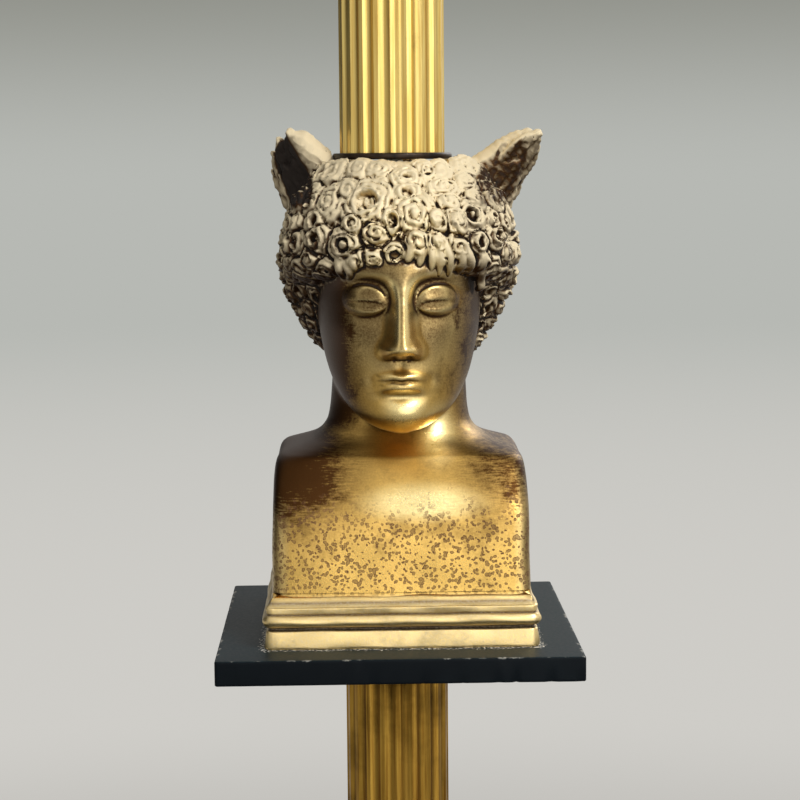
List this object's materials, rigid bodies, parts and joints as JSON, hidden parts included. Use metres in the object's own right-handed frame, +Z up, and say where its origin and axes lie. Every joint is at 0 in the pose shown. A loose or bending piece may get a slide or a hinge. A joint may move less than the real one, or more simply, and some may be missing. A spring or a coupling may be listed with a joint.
{
  "type": "floor lamp",
  "caption": "Floor lamp with a fluted brass column on a black stone base, a cast winged bust on a square stone shelf half way up, a harp, a turn-key lampholder and a fabric drum shade.",
  "frame": {"origin": "on the floor under the middle of the column", "axes": "+Z up along the column, -Y the way the bust looks, +X to its left"},
  "size_m": [0.4226, 0.4226, 1.5431],
  "materials": {
    "brass": "worn polished brass with brown streaks",
    "cast_brass": "cast brass, brown in the recesses",
    "black_stone": "honed black stone with chipped edges",
    "dark_bronze": "blackened",
    "steel": "plated",
    "felt": "felt",
    "black_rubber": "matt",
    "moulded_black": "moulded",
    "fibre": "pressed fibre",
    "opal_glass": "opal",
    "linen": "linen over stiff backing"
  },
  "bodies": {
    "lamp": {"felt_pad_front_left": "felt", "felt_pad_front_right": "felt", "felt_pad_back_left": "felt", "felt_pad_back_right": "felt", "base_slab": "black_stone", "base_step": "black_stone", "cord_bushing": "black_rubber", "base_washer": "steel", "base_nut": "steel", "lower_rod": "steel", "rod_coupling": "steel", "upper_rod": "steel", "column_foot": "brass", "lower_column": "brass", "lower_column_bottom_plug": "steel", "lower_column_top_plug": "steel", "bust_shelf": "black_stone", "bust": "cast_brass", "head_collar": "dark_bronze", "upper_column": "brass", "upper_column_bottom_plug": "steel", "upper_column_top_plug": "steel", "column_cap": "brass", "neck_spacer": "brass", "harp_saddle": "brass", "harp": "brass", "lampholder_cap": "brass", "lampholder_shell": "brass", "lampholder_liner": "fibre", "lampholder_body": "moulded_black", "screw_shell": "brass", "centre_contact": "brass", "bulb_cap": "steel", "bulb_glass": "opal_glass", "finial": "brass"},
    "shade": {"shade_spider": "brass", "shade_bottom_ring": "brass", "shade_panel": "linen", "shade_top_trim": "linen", "shade_bottom_trim": "linen"},
    "switch_key": {"switch_key": "moulded_black"},
    "ferrule_left": {"harp_ferrule_left": "brass"},
    "ferrule_right": {"harp_ferrule_right": "brass"}
  },
  "joints": [
    {"name": "shade_turn", "type": "hinge", "parent": "lamp", "child": "shade", "pos_m": [0, 0, 1.507], "axis": [0, 0, 1], "continuous": true},
    {"name": "switch_key_turn", "type": "hinge", "parent": "lamp", "child": "switch_key", "pos_m": [0, 0, 1.3321], "axis": [0, -1, 0], "continuous": true},
    {"name": "ferrule_left_slide", "type": "slide", "parent": "lamp", "child": "ferrule_left", "axis": [0, 0, 1], "range_m": [0, 0.012]},
    {"name": "ferrule_right_slide", "type": "slide", "parent": "lamp", "child": "ferrule_right", "axis": [0, 0, 1], "range_m": [0, 0.012]}
  ]
}
